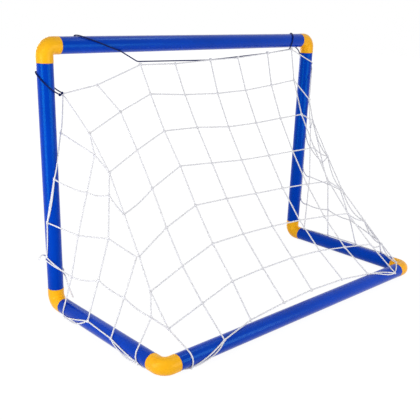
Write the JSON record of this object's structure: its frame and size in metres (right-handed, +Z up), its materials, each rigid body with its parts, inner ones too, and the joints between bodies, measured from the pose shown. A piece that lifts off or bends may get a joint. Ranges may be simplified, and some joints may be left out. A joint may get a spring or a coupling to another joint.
{
  "type": "hockey goal net",
  "caption": "Free-standing toy hockey goal: a push-together frame of blue plastic tube and yellow elbows with a white knotted net laced under its top bar.",
  "frame": {"origin": "on the floor, at the middle of the frame's footprint", "axes": "+Z up, +Y out of the goal mouth, +X along the bars to the right of someone behind the goal who looks out of its mouth"},
  "size_m": [0.6273, 0.3031, 0.4276],
  "materials": {
    "tube_blue": "glossy extruded plastic",
    "elbow_yellow": "satin moulded plastic",
    "net_twine": "twisted white twine",
    "lacing_cord": "braided dark navy cord"
  },
  "bodies": {
    "root": {"top_bar": "tube_blue", "left_post": "tube_blue", "right_post": "tube_blue", "left_base_tube": "tube_blue", "right_base_tube": "tube_blue", "rear_bar": "tube_blue", "top_left_elbow": "elbow_yellow", "top_right_elbow": "elbow_yellow", "front_left_elbow": "elbow_yellow", "front_right_elbow": "elbow_yellow", "rear_left_elbow": "elbow_yellow", "rear_right_elbow": "elbow_yellow", "net": "net_twine", "lacing_cord": "lacing_cord", "left_post_tie": "lacing_cord", "left_foot_tie": "net_twine"}
  },
  "joints": []
}
